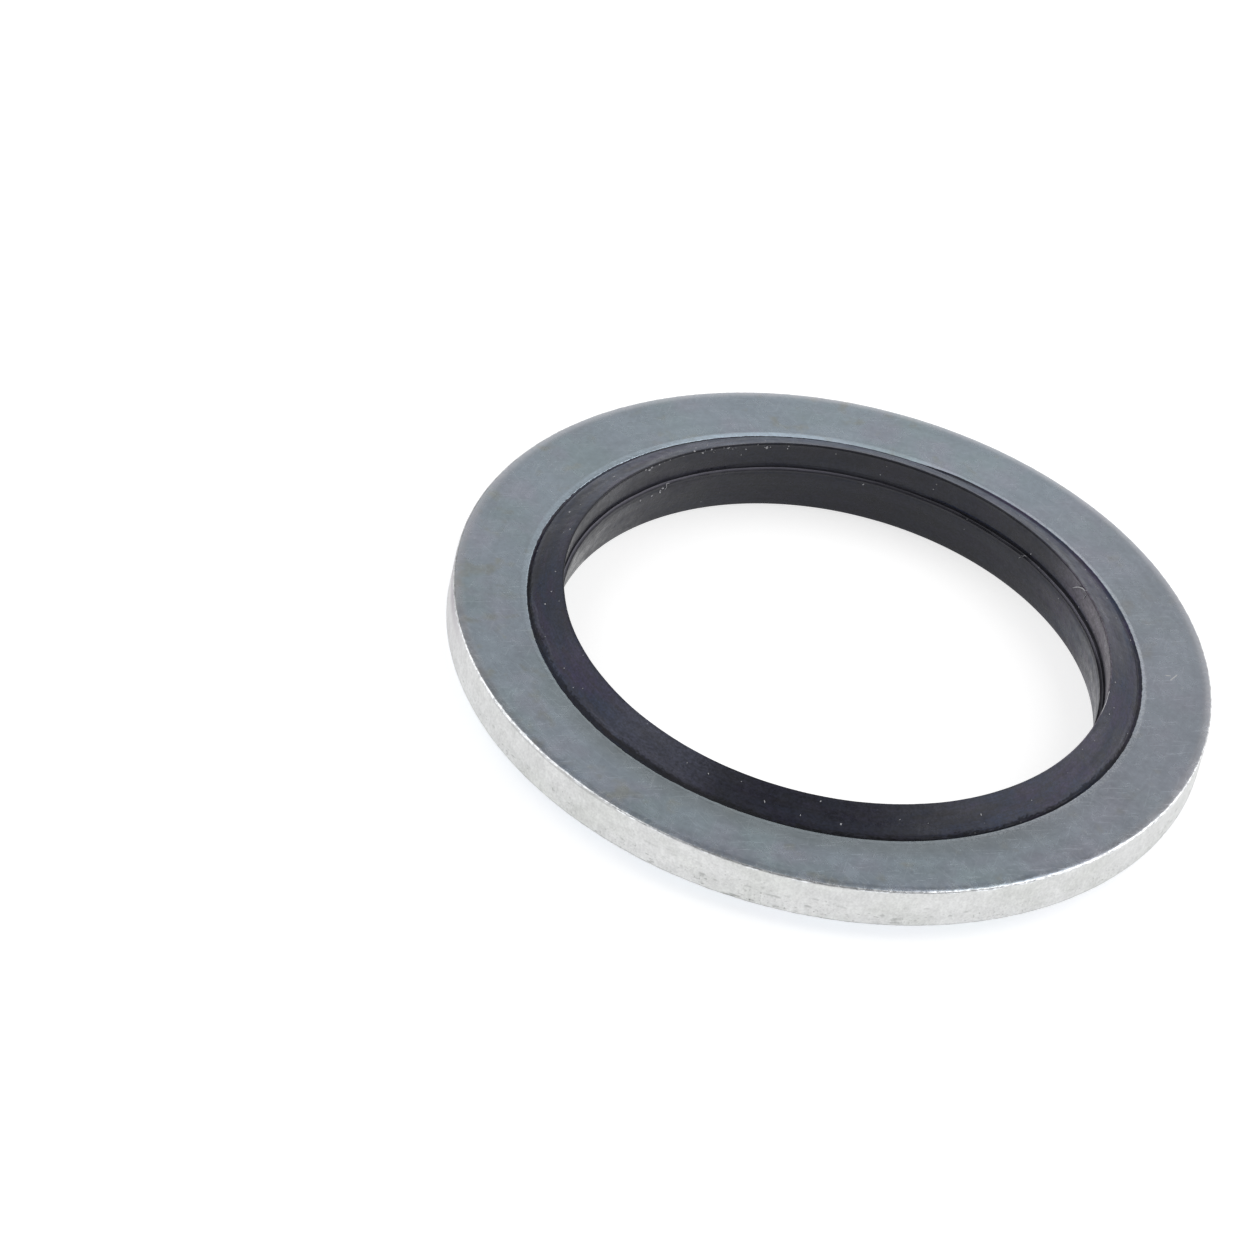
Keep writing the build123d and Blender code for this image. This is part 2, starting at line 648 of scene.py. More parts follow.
@dataclass(frozen=True)
class ZincFinish:
    """Clear-passivated zinc plate: smooth on the stamped face, pale and pitted on the sheared rim."""

    sizes: WasherSizes
    blue_grey: Color = (0.55, 0.635, 0.72, 1.0)
    green_grey: Color = (0.53, 0.635, 0.69, 1.0)
    violet_grey: Color = (0.58, 0.62, 0.72, 1.0)
    olive: Color = (0.53, 0.56, 0.53, 1.0)
    # Dark blue strokes and painted shade near the outer edge at the front.
    blue_edge_shade: Color = (0.36, 0.45, 0.60, 1.0)
    # Worn edge beside the seal, lightened as a painted highlight.
    worn_highlight_tone: Color = (0.78, 0.82, 0.87, 1.0)
    glint: Color = (0.68, 0.8, 0.91, 1.0)
    scratched: Color = (0.9, 0.93, 0.95, 1.0)
    bare: Color = (0.95, 0.96, 0.97, 1.0)
    # Painted shade: darker grey near the seal at the front.
    front_shade_grey: Color = (0.47, 0.53, 0.565, 1.0)
    # Painted shade on the rim at the left end.
    left_shade_grey: Color = (0.4, 0.37, 0.41, 1.0)
    side_grey: Color = (0.51, 0.525, 0.6, 1.0)
    # Painted highlight on the rolled outer edge.
    roll_highlight_grey: Color = (0.78, 0.76, 0.79, 1.0)
    rim_white: Color = (0.71, 0.715, 0.715, 1.0)
    rim_green: Color = (0.63, 0.645, 0.62, 1.0)
    # Painted highlight along the outer corner.
    corner_highlight: Triple = (0.86, 0.87, 0.88)
    # Pits and tears, and the painted shadow along the rim's lower edge.
    pit: Color = (0.25, 0.26, 0.25, 1.0)
    face_roughness: float = 0.24
    rim_roughness: float = 0.52
    relief_depth: float = 0.02
    green: Pattern = Pattern(2.6, 1.0, 3.0, (0.42, 0.68))
    violet: Pattern = Pattern(1.9, 2.0, 3.0, (0.46, 0.7))
    clouds: Pattern = Pattern(1.6, 3.0, 3.0, result=(0.95, 1.05))
    face_grain: Pattern = Pattern(0.16, 4.0, 2.0, (0.25, 0.75), (0.95, 1.05))
    arcs: Pattern = Pattern((9.0, 0.22), 5.0, 1.0, result=(0.975, 1.025))
    worn_highlight: Pattern = Pattern((0.08, 0.06), 10.0, 2.0, (0.42, 0.58))
    stain: Pattern = Pattern((1.6, 0.9), 11.0, 4.0, (0.42, 0.7))
    fine_pits: Pattern = Pattern(0.06, 12.0, 2.0, (0.4, 0.34))
    pit_patches: Pattern = Pattern(1.1, 13.0, 2.0, (0.42, 0.58), (0.15, 1.0))
    rim_grain: Pattern = Pattern(0.08, 14.0, 3.0, result=(0.92, 1.06))
    rim_start: Pattern = Pattern((0.5, 0.3), 15.0, result=(-0.03, 0.03))
    polish: Pattern = Pattern(0.5, 16.0, 4.0, result=(-0.04, 0.05))
    peel: Pattern = Pattern(0.28, 17.0, 3.0)
    crumble: Pattern = Pattern((0.22, 0.12), 18.0, 3.0)
    blotches: Pattern = Pattern(0.8, 31.0, 3.0, (0.57, 0.72))
    strokes_and_shade: Pattern = Pattern((0.13, 0.7), 32.0, 2.0, (0.4, 0.62))
    mottle: Pattern = Pattern((0.6, 0.35), 33.0, 4.0, result=(0.95, 1.03))
    shear: Pattern = Pattern((0.09, 0.5), 34.0, result=(0.975, 1.02))
    rolled: Pattern = Pattern((0.15, 0.2), 38.0, result=(0.6, 1.0))
    flecks: Pattern = Pattern((0.2, 0.045), 39.0, 1.0, (0.33, 0.28))
    foot: Pattern = Pattern((0.3, 0.1), 40.0, 2.0, (0.35, 0.6), (0.3, 1.0))
    corner: Pattern = Pattern((0.12, 0.1), 45.0, 2.0, (0.35, 0.6), (0.57, 1.0925))
    # Breaks up the painted glint band beside the seal.
    glint_band: Pattern = Pattern((0.12, 0.08), 49.0, 2.0, (0.35, 0.6), (0.5, 1.0))
    scratch_turns: tuple[float, ...] = (24.0, -38.0, 82.0, 128.0)
    scratches: tuple[Pattern, ...] = (
        Pattern((0.9, 0.03), 6.0, 0.0, (0.712, 0.772)),
        Pattern((0.7, 0.03), 7.0, 0.0, (0.72, 0.78)),
        Pattern((0.8, 0.03), 8.0, 0.0, (0.72, 0.78)),
        Pattern((1.1, 0.03), 9.0, 0.0, (0.728, 0.788)),
    )
    scuff: tuple[Stroke, ...] = (
        Stroke((11.54, 1.88), 62.0, (0.5, 0.03)),
        Stroke((11.34, 1.91), 12.0, (0.22, 0.03)),
    )

    def face(self, graph: Graph) -> tuple[Output, Output]:
        """Makes the face's colour and the pattern of its scratches.

        Args:
            graph: The material's graph.

        Returns:
            The colour, and a number that is 1 on a scratch.
        """
        s = self.sizes
        color = graph.tint(self.blue_grey, self.green_grey, graph.patterns(self.green))
        color = graph.tint(color, self.violet_grey, graph.patterns(self.violet))
        color = graph.tint(color, self.olive, graph.patterns(self.blotches), 0.75)
        # Painted shade: the face is darker grey near the seal at the front.
        darker_tone = graph.zone(radius=(s.root_r + 1.1, s.root_r + 0.3), depth=(-0.3, -0.8))
        color = graph.tint(color, self.front_shade_grey, darker_tone, 0.8)
        color = graph.tint(color, self.side_grey, graph.zone(side=(0.4, 0.9)), 0.5)
        color = graph.shade(color, graph.patterns(self.clouds, self.face_grain, self.arcs))
        lines = graph.most(*map(graph.hairlines, self.scratch_turns, self.scratches))
        color = graph.tint(color, self.scratched, lines, 0.13)
        color = graph.tint(color, self.bare, graph.dots(cell=0.9, size=0.05, share=0.3), 0.25)
        scuff = graph.most(*(graph.stroke(one, s.upper_face_z) for one in self.scuff))
        color = graph.tint(color, self.bare, scuff, 0.9)
        # Worn edge beside the seal: partly real wear, partly a painted highlight, full on the right side.
        worn_highlight = graph.zone(self.worn_highlight, radius=(s.root_r + 0.24, s.root_r + 0.16), side=(0.3, 0.7, 0.12, 1.0))
        color = graph.tint(color, self.worn_highlight_tone, worn_highlight, 0.5)
        # Painted highlight: a light glint band beside the seal at the back left.
        glint_band = graph.times(
            graph.zone(radius=(s.root_r + 0.2, s.root_r + 0.12), side=(0.0, -0.35), depth=(-0.6, -0.4)),
            graph.zone(self.glint_band, depth=(-0.4, 0.4, 0.2, 1.0)),
        )
        color = graph.tint(color, self.glint, glint_band)
        # Dark blue strokes near the outer edge at the front: partly marks, partly painted shade.
        edge_strokes_and_shade = graph.zone(self.strokes_and_shade, radius=(s.outer_r - 0.5, s.outer_r - 0.2), depth=(-0.55, -0.8))
        color = graph.tint(color, self.blue_edge_shade, edge_strokes_and_shade, 0.35)
        # Painted highlight: the rolled outer edge is lighter, less so at the front.
        rolled = graph.zone(
            self.rolled, radius=(s.outer_r - 0.45, s.outer_r - 0.1), depth=(-0.8, -0.4, 0.35, 1.0)
        )
        color = graph.tint(color, self.roll_highlight_grey, rolled, 0.6)
        return color, lines

    def rim(self, graph: Graph) -> tuple[Output, Output]:
        """Makes the sheared rim's colour and the pattern of its pits.

        Args:
            graph: The material's graph.

        Returns:
            The colour, and a number that is 1 in a pit.
        """
        s = self.sizes
        low = graph.total(
            graph.zone(height=(s.upper_face_z - 0.3, s.lower_face_z + 0.2, 0.25, 1.0)),
            graph.zone(height=(s.lower_face_z + 0.3, s.lower_face_z + 0.12, 0.0, 0.5)),
        )
        pits = graph.most(
            graph.dots(cell=0.16, size=0.028, share=0.35),
            graph.dots(cell=0.6, size=0.05, share=0.3),
            graph.times(graph.patterns(self.fine_pits), 0.6),
        )
        flecks = graph.zone(self.flecks, height=(s.upper_face_z - 0.7, s.lower_face_z + 0.3))
        marks = graph.most(graph.times(pits, low, graph.patterns(self.pit_patches)), flecks)
        color = graph.tint(self.rim_white, self.rim_green, graph.patterns(self.stain), 0.45)
        color = graph.shade(color, graph.patterns(self.mottle, self.shear, self.rim_grain))
        # Painted shadow: a dark line along the rim's lower edge, next to the floor.
        foot = graph.zone(self.foot, height=(s.lower_face_z + 0.09, s.lower_face_z + 0.05))
        for mask, share in ((marks, 0.6), (foot, 0.5), (graph.scar(), 0.45)):
            color = graph.tint(color, self.pit, mask, share)
        # Painted shade: the rim is darker just under the rolled edge at the front left.
        under_roll_shade = graph.zone(
            height=(s.upper_face_z - 0.18, s.upper_face_z - 0.11), depth=(-0.45, -0.65), side=(-0.4, -0.5)
        )
        color = graph.darken(color, under_roll_shade, 0.78)
        # Painted shade: the upper rim is darker and violet-grey at the left end.
        left_end_shade = graph.zone(
            side=(-0.86, -0.97),
            depth=(-0.5, -0.2),
            height=(s.upper_face_z - 0.75, s.upper_face_z - 0.25, 0.3, 1.0),
        )
        return graph.tint(color, self.left_shade_grey, left_end_shade, 0.75), marks

    def material(self) -> bpy.types.Material:
        """Builds the material.

        Returns:
            The material.
        """
        s = self.sizes
        graph = Graph("zinc_plate")
        face_color, lines = self.face(graph)
        rim_color, pits = self.rim(graph)
        below = graph.total(graph.height, graph.patterns(self.rim_start))
        on_rim = graph.times(
            graph.span(below, s.upper_face_z - 0.05, s.upper_face_z - 0.1),
            graph.zone(radius=(s.outer_r - 0.1, s.outer_r - 0.05)),
        )
        # Painted highlight: a white line along the outer corner, dimmed at the left end as painted shade.
        corner = graph.zone(radius=(s.outer_r - 0.09, s.outer_r - 0.06))
        bright = graph.zone(self.corner, side=(-0.9, -0.98, 1.0, 0.6))
        face_color = graph.tint(face_color, graph.shade(self.corner_highlight, bright), corner, 0.8)
        graph.set(Socket.COLOR, graph.mix(on_rim, face_color, rim_color))
        graph.set(Socket.METALLIC, 1.0)
        back_right = graph.span(graph.total(graph.depth, graph.times(graph.side, 0.5)), 0.2, 0.7, 0.0, 0.25)
        rough = graph.total(
            graph.times(on_rim, self.rim_roughness - self.face_roughness),
            graph.times(graph.zone(radius=(s.root_r + 0.2, s.root_r + 0.1)), back_right),
            graph.patterns(self.polish),
            self.face_roughness,
        )
        graph.set(Socket.ROUGHNESS, rough)
        crumble = graph.plain(self.crumble)
        relief = graph.total(
            graph.times(graph.plain(self.peel), 0.035),
            graph.times(lines, -0.04),
            graph.times(graph.zone(radius=(s.root_r + 0.22, s.root_r + 0.1)), crumble, 0.22),
            graph.times(on_rim, crumble, 0.7),
            graph.times(on_rim, pits, -0.5),
        )
        graph.bump(relief, self.relief_depth)
        return graph.material


@dataclass(frozen=True)
class RubberFinish:
    """Moulded nitrile rubber with a faint bloom and a few specks of dust; its colour also holds painted sheen,
    highlights, reflection and shade.
    """

    sizes: WasherSizes
    black: Color = (0.01, 0.012, 0.026, 1.0)
    blue: Color = (0.012, 0.021, 0.053, 1.0)
    violet: Color = (0.023, 0.018, 0.052, 1.0)
    # Neutral tone, also painted shade at the front.
    neutral_and_front_shade: Color = (0.012, 0.0125, 0.02, 1.0)
    # Painted reflection on the bore's upper wall.
    wall_reflection: Color = (0.155, 0.135, 0.165, 1.0)
    brown: Color = (0.019, 0.016, 0.026, 1.0)
    # Bloom, and painted sheen and highlights.
    bloom_and_sheen: Color = (0.044, 0.047, 0.072, 1.0)
    flash: Color = (0.19, 0.185, 0.225, 1.0)
    ledge_grey: Color = (0.034, 0.034, 0.043, 1.0)
    dust: Color = (0.55, 0.55, 0.56, 1.0)
    roughness: float = 0.33
    specular: float = 0.37
    relief_depth: float = 0.006
    blues: Pattern = Pattern((2.6, 0.9), 21.0, 4.0, (0.36, 0.6))
    violets: Pattern = Pattern((1.8, 0.6), 22.0, 4.0, (0.44, 0.66))
    browns: Pattern = Pattern((1.5, 0.5), 23.0, 3.0, (0.54, 0.75))
    haze_and_sheen: Pattern = Pattern((1.2, 0.3), 24.0, 3.0, result=(0.3, 1.0))
    streaks: Pattern = Pattern((6.0, 0.09), 25.0, 1.0, result=(0.85, 1.15))
    matt: Pattern = Pattern((1.6, 0.5), 26.0, 4.0, result=(-0.07, 0.09))
    grain: Pattern = Pattern(0.1, 27.0, 3.0)
    lines: Pattern = Pattern((5.0, 0.1), 28.0, 1.0)
    speckle: Pattern = Pattern((0.12, 0.08), 29.0, 2.0, (0.28, 0.72), (0.6, 1.4))
    dusty: Pattern = Pattern(2.2, 30.0, 1.0, (0.45, 0.6))
    sway: Pattern = Pattern((1.2, 4.0), 35.0, result=(-0.05, 0.05))
    # Breaks up the painted highlight on the lip's shoulder.
    shoulder_highlight_patches: Pattern = Pattern((4.0, 4.0), 36.0, 2.0, (0.45, 0.6))
    fray: Pattern = Pattern((0.14, 0.1), 37.0, result=(-0.05, 0.05))
    fine_matt: Pattern = Pattern(0.22, 46.0, result=(-0.06, 0.06))
    dimples: Pattern = Pattern(0.35, 47.0)
    wall_reflection_patches: Pattern = Pattern((0.5, 0.3), 48.0, 3.0, result=(0.6, 1.0))

    def tones(self, graph: Graph) -> Output:
        """Makes the rubber's broad changes of colour, with painted sheen, highlights, reflection and shade
        among them.

        Args:
            graph: The material's graph.

        Returns:
            The colour.
        """
        s = self.sizes
        wall = (s.crest_inner_r + 0.06, s.crest_inner_r + 0.03)
        color = self.black
        tones = (self.blue, self.violet, self.brown)
        for pattern, tone in zip((self.blues, self.violets, self.browns), tones):
            color = graph.tint(color, tone, graph.patterns(pattern))
        # A faint bloom that grows towards the lip's top, partly painted sheen.
        top_haze_and_sheen = graph.zone(self.haze_and_sheen, height=(s.upper_face_z + 0.25, s.top_z, 0.0, 0.35))
        color = graph.tint(color, self.bloom_and_sheen, top_haze_and_sheen)
        # Neutral tone in the bore, less at the right end, and painted shade towards the front.
        in_bore = graph.zone(radius=wall, side=(0.6, 0.9, 0.85, 0.2))
        front = graph.zone(depth=(-0.78, -0.95, 0.0, 0.8))
        color = graph.tint(color, self.neutral_and_front_shade, graph.most(in_bore, front))
        face_z = s.upper_face_z
        # Painted highlight and sheen: lighter patches on the lower lip at the front left and at the right end.
        front_left_highlight = graph.times(
            graph.zone(side=(-0.78, -0.6)),
            graph.zone(side=(-0.25, -0.4), depth=(-0.6, -0.8), height=(face_z, face_z + 0.15)),
        )
        right_end = graph.zone(side=(0.72, 0.85), depth=(0.0, 0.2), height=(face_z + 0.1, face_z + 0.3))
        pale = graph.most(graph.times(front_left_highlight, 0.7), graph.times(right_end, 0.5))
        color = graph.tint(color, self.bloom_and_sheen, pale)
        # Painted reflection: a lighter violet-grey patch on the bore's upper wall at the right end.
        above_ledge = (s.ledge_z + 0.12, s.ledge_z + 0.4)
        wall_reflection = graph.zone(self.wall_reflection_patches, radius=wall, height=above_ledge, side=(0.68, 0.93))
        color = graph.tint(color, self.wall_reflection, wall_reflection, 0.8)
        # Painted shade: the rubber is darker at the left end.
        return graph.shade(color, graph.zone(side=(-0.85, -0.98, 1.0, 0.7)))

    def material(self) -> bpy.types.Material:
        """Builds the material.

        Returns:
            The material.
        """
        s = self.sizes
        graph = Graph("nitrile_rubber")
        inward = graph.total(graph.radius, graph.patterns(self.sway))
        frayed = graph.total(inward, graph.patterns(self.fray))
        # Dark root line: dirt in the groove and painted shade, strongest at the front.
        root = graph.times(
            graph.span(frayed, s.root_r - 0.2, s.root_r - 0.13),
            graph.zone(height=(s.upper_face_z - 0.1, s.upper_face_z - 0.05), depth=(0.5, -0.5, 0.25, 1.0)),
        )
        color = graph.darken(self.tones(graph), root, 0.45)
        # Painted highlight: a thin light line along the lip's shoulder.
        shoulder_highlight = graph.times(
            graph.span(inward, s.root_r - 0.3, s.root_r - 0.26),
            graph.span(inward, s.root_r - 0.21, s.root_r - 0.25),
            graph.zone(self.shoulder_highlight_patches, height=(s.upper_face_z - 0.1, s.upper_face_z)),
        )
        color = graph.tint(color, self.bloom_and_sheen, shoulder_highlight, 0.6)
        color = graph.shade(color, graph.patterns(self.streaks, self.speckle))
        specks = graph.most(
            graph.times(graph.dots(cell=0.3, size=0.022, share=0.35), graph.patterns(self.dusty)),
            graph.dots(cell=1.1, size=0.035, share=0.3),
        )
        color = graph.tint(color, self.dust, specks, 0.5)
        from_ledge = graph.math("ABSOLUTE", graph.math("SUBTRACT", graph.height, s.ledge_z))
        in_bore = graph.zone(radius=(s.crest_inner_r + 0.2, s.crest_inner_r + 0.15))
        color = graph.tint(color, self.ledge_grey, graph.times(graph.span(from_ledge, 0.1, 0.05), in_bore))
        color = graph.tint(color, self.flash, graph.scar(), 0.8)
        # Painted shade: a dark line just inside the crest.
        trimmed = graph.times(
            graph.zone(height=(s.top_z - 0.1, s.top_z - 0.07)),
            graph.zone(height=(s.top_z - 0.02, s.top_z - 0.035)),
            graph.zone(radius=(s.crest_inner_r + 0.06, s.crest_inner_r + 0.04)),
        )
        graph.set(Socket.COLOR, graph.darken(color, trimmed, 0.5))
        graph.set(Socket.SPECULAR, self.specular)
        rough = graph.total(
            graph.patterns(self.matt),
            graph.patterns(self.fine_matt),
            graph.times(trimmed, 0.5),
            graph.times(root, 0.3),
            self.roughness,
        )
        graph.set(Socket.ROUGHNESS, rough)
        grain = graph.plain(self.grain)
        relief = graph.total(
            grain,
            graph.times(graph.plain(self.dimples), 2.0),
            graph.times(graph.plain(self.lines), 0.5),
            graph.times(specks, 0.5),
            graph.times(root, grain),
        )
        graph.bump(relief, self.relief_depth)
        return graph.material


@dataclass
class SteelRing:
    """The stamped ring: flat faces, a rolled-over upper rim and a rounded bore."""

    sizes: WasherSizes
    steps: int = 1440
    wander: Unevenness = Unevenness(6.0, 4.0, 1)
    dents: Unevenness = Unevenness(1.0, 0.6, 2, 0.006)
    crumble: Unevenness = Unevenness(0.2, 0.14, 3)
    tears: Unevenness = Unevenness(0.45, 0.1, 4)
    tear_patches: Unevenness = Unevenness(3.0, 2.0, 5)
    nicks: Unevenness = Unevenness(0.16, 0.4, 6)
    swell: Unevenness = Unevenness(2.4, 1.6, 7, 0.0025)
    wander_depth: float = 0.008
    crumble_depth: float = 0.007
    tear_depth: float = 0.025
    chip_depth: float = 0.016
    chip_drop: float = 0.012
    plough_height: float = 0.004
    foot_height: float = 0.014

    def outline(self) -> Profile:
        """Draws the ring's section.

        Returns:
            The section, from the bore over the upper face and down the rim.
        """
        s = self.sizes
        profile = Profile()
        width, depth = s.seat_edge
        profile.line_to(s.seat_r, s.lower_face_z + depth)
        profile.arc((s.seat_r + width, s.upper_face_z - depth), s.seat_edge, 180, 150, 1)
        profile.arc((s.seat_r + width, s.upper_face_z - depth), s.seat_edge, 140, 90, 7)
        tilt = 2 * math.atan(s.roll_drop / s.roll_width)
        roll_radius = s.roll_width / math.sin(tilt)
        roll_r = s.outer_r - s.corner_radius * (1 - math.sin(tilt)) - s.roll_width
        end = 90 - math.degrees(tilt)
        profile.line_to(roll_r, s.upper_face_z, 9)
        profile.arc((roll_r, s.upper_face_z - roll_radius), (roll_radius, roll_radius), 90, end, 6)
        corner_z = s.upper_face_z - s.roll_drop - s.corner_radius * math.cos(tilt)
        profile.arc((s.outer_r - s.corner_radius, corner_z), (s.corner_radius, s.corner_radius), end, 0, 7)
        low = s.rim_edge_radius
        profile.line_to(s.outer_r, s.lower_face_z + low, 23)
        profile.arc((s.outer_r - low, s.lower_face_z + low), (low, low), 0, -90, 4)
        profile.line_to(s.seat_r + width, s.lower_face_z, 4)
        profile.arc((s.seat_r + width, s.lower_face_z + depth), s.seat_edge, 270, 180, 4)
        profile.points.pop()
        return profile

    def shift(self, radius: float, height: float, angle: float) -> Triple:
        """Makes the sheared rim uneven and torn, and lets the faces swell a little.

        Args:
            radius: Radius of a point.
            height: Height of the point.
            angle: Angle of the point.

        Returns:
            Its moves in radius and height, and how scarred the surface is there.
        """
        s = self.sizes
        place = (radius, height, angle)
        front = -math.sin(angle)
        on_rim = ramp(radius, s.outer_r - 0.13, s.outer_r - 0.01)
        outward = upward = scar = 0.0
        if on_rim > 0:
            outward -= on_rim * self.wander_depth * (1 + self.wander.at(*place))
            rough = 0.3 + 0.7 * ramp(front, 0.1, 0.6)
            uneven = self.dents.at(*place) + self.crumble_depth * self.crumble.at(*place)
            outward += on_rim * rough * uneven
            low = ramp(height, s.upper_face_z - 0.35, s.lower_face_z + 0.5)
            torn = self.tears.at(*place) + 0.6 * self.tear_patches.at(*place)
            scar = on_rim * low * ramp(torn, 0.68, 0.88)
            outward -= self.tear_depth * scar
            top = on_rim * ramp(height, s.upper_face_z - 0.22, s.upper_face_z - 0.1)
            chip = ramp(self.nicks.at(*place), 0.2, 0.6) * 0.6 * ramp(front, 0.15, 0.6)
            outward -= self.chip_depth * top * chip
            upward -= self.chip_drop * top * chip
        if height > s.upper_face_z - 0.1 or height < s.lower_face_z + 0.01:
            upward += self.swell.at(*place)
            ploughed = ramp(radius, s.outer_r - 0.4, s.outer_r - 0.15) * ramp(front, 0.5, 0.8)
            upward += self.plough_height * ploughed * self.nicks.at(*place)
        if height < s.lower_face_z + s.rim_edge_radius:
            upward += on_rim * self.foot_height * self.crumble.at(*place)
        return outward, upward, scar

    def build(self) -> None:
        """Makes the ring, which stands for the CAD node."""
        piece = spin_ring("steel_ring", self.outline(), self.steps, self.shift)
        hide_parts("steel_washer")
        dress(piece, ZincFinish(self.sizes).material())


@dataclass
class RubberSeal:
    """The moulded seal: a lip on each side, and the trimmed moulding line in its bore."""

    sizes: WasherSizes
    steps: int = 1152
    lap: float = 0.01
    bulge: float = 0.1
    front_bulge_deg: float = 230.0
    side_bulge_deg: Point = (300.0, 77.0)
    front_reach_deg: float = 50.0
    side_rise_deg: float = 80.0
    side_share: float = 0.85
    clean_deg: float = 70.0
    clean_reach_deg: Point = (35.0, 12.0)
    filled_deg: float = 135.0
    filled_reach_deg: Point = (75.0, 50.0)
    root_margin: float = 0.06
    teeth: Unevenness = Unevenness(0.22, 0.8, 11, 0.014)
    fringe: Unevenness = Unevenness(0.09, 0.8, 12, 0.018)
    sway: Unevenness = Unevenness(3.4, 2.0, 13, 0.006)
    skin: Unevenness = Unevenness(1.3, 0.35, 14)
    crest_wave: Unevenness = Unevenness(2.2, 2.0, 15)
    bead_wave: Unevenness = Unevenness(1.4, 4.0, 16)
    bead_size: Unevenness = Unevenness(0.6, 4.0, 17)
    rag: Unevenness = Unevenness(0.35, 0.1, 18, 0.008)
    crease: Unevenness = Unevenness(7.0, 0.09, 19)
    grit: Unevenness = Unevenness(0.2, 0.16, 20, 0.003)
    skin_depth: float = 0.006
    crest_sag: float = 0.006
    crest_sway: float = 0.01
    wall_skin: float = 0.004
    wall_crease: float = 0.003
    bead_sway: float = 0.01
    bead_rise: float = 0.012
    undercut_fill: float = 0.85
    gutter_fill: float = 0.7
    bead_lift: float = 0.01
    slack: float = 0.005

    def tangent_angle(self, centre: Point, foot: Point, side: int) -> float:
        """Finds where a line from a point touches a crest's circle.

        Args:
            centre: Centre of the crest's circle.
            foot: The point the line starts from.
            side: 1 or -1, for the two tangents.

        Returns:
            The angle of the touching point, in degrees.
        """
        reach = math.dist(centre, foot)
        toward = math.atan2(foot[1] - centre[1], foot[0] - centre[0])
        return math.degrees(toward + side * math.acos(self.sizes.crest_radius / reach))

    def lip(
        self, profile: Profile, crest: Point, before: Point, after: Point, steps: tuple[int, int, int]
    ) -> None:
        """Draws a lip: a straight flank, a round crest and the next straight flank.

        Args:
            profile: The outline so far, which ends at the first flank's foot.
            crest: Centre of the crest's circle.
            before: The first flank's foot.
            after: The second flank's foot.
            steps: Numbers of parts of the three.
        """
        radius = self.sizes.crest_radius
        start = self.tangent_angle(crest, before, 1)
        end = self.tangent_angle(crest, after, -1)
        first = math.radians(start)
        profile.line_to(crest[0] + radius * math.cos(first), crest[1] + radius * math.sin(first), steps[0])
        profile.arc(crest, (radius, radius), start % 360, end % 360, steps[1])
        profile.line_to(*after, steps[2])

    def outline(self) -> Profile:
        """Draws the seal's section.

        Returns:
            The section, from the upper root over the crest and down the bore.
        """
        s = self.sizes
        profile = Profile()
        groove_r = s.root_r - s.groove_width
        shoulder_r = groove_r - s.shoulder_width
        root_drop = s.seat_drop(s.root_r)
        upper_root_z = s.upper_face_z - root_drop
        lower_root_z = s.lower_face_z + root_drop
        crest_r = s.crest_inner_r + s.crest_radius
        width, depth = s.seat_edge

        profile.line_to(s.root_r, upper_root_z)
        profile.line_to(s.root_r - 0.7 * s.groove_width, upper_root_z - s.groove_depth, 3)
        profile.line_to(groove_r, upper_root_z - s.groove_depth)
        shoulder = (shoulder_r, upper_root_z - s.groove_depth + s.shoulder_height)
        profile.line_to(*shoulder, 4)
        overhang = (s.crest_inner_r + s.crest_overhang, s.top_z - 4 * s.crest_overhang)
        self.lip(profile, (crest_r, s.top_z - s.crest_radius), shoulder, overhang, (11, 6, 1))
        foot_r = s.crest_inner_r + s.wall_lean
        deepest_r = foot_r + s.undercut[0]
        gutter_z = s.ledge_z - s.gutter_depth
        profile.line_to(foot_r, s.ledge_z + s.undercut[1], 6)
        profile.line_to(deepest_r, s.ledge_z + s.undercut[1] - 0.02)
        profile.line_to(deepest_r, gutter_z, 2)

        bead = (s.land_r + s.bead_setback, s.ledge_z)
        profile.line_to(bead[0] + s.bead_radius, gutter_z)
        profile.arc(bead, (s.bead_radius, 1.3 * s.bead_radius), 0, 180, 5)
        profile.line_to(bead[0] - s.bead_radius, gutter_z)
        land_top_r = s.land_r + s.land_round[0]
        profile.line_to(land_top_r + s.gutter_rim, gutter_z)
        profile.line_to(land_top_r, s.ledge_z - s.gutter_rim)
        profile.line_to(s.land_r, s.ledge_z - s.gutter_rim - s.land_round[1])
        land_foot = (s.land_r, s.land_bottom_z)
        profile.line_to(*land_foot)

        lower_shoulder = (shoulder_r, lower_root_z - s.shoulder_height + s.groove_depth)
        self.lip(profile, (crest_r, s.crest_radius), land_foot, lower_shoulder, (7, 6, 4))
        profile.line_to(groove_r, lower_root_z + s.groove_depth)
        profile.line_to(s.root_r, lower_root_z)
        turn = math.degrees(math.asin((depth - root_drop) / depth))
        profile.arc((s.seat_r + width, s.lower_face_z + depth), s.seat_edge, 180 + turn, 180, 3)
        profile.arc((s.seat_r + width, s.upper_face_z - depth), s.seat_edge, 180, 180 - turn, 3)
        profile.points.pop()
        return profile

    def apart(self, angle: float, degrees: float) -> float:
        """Gives how many degrees an angle in radians is from another in degrees."""
        return abs((math.degrees(angle) - degrees + 180) % 360 - 180)

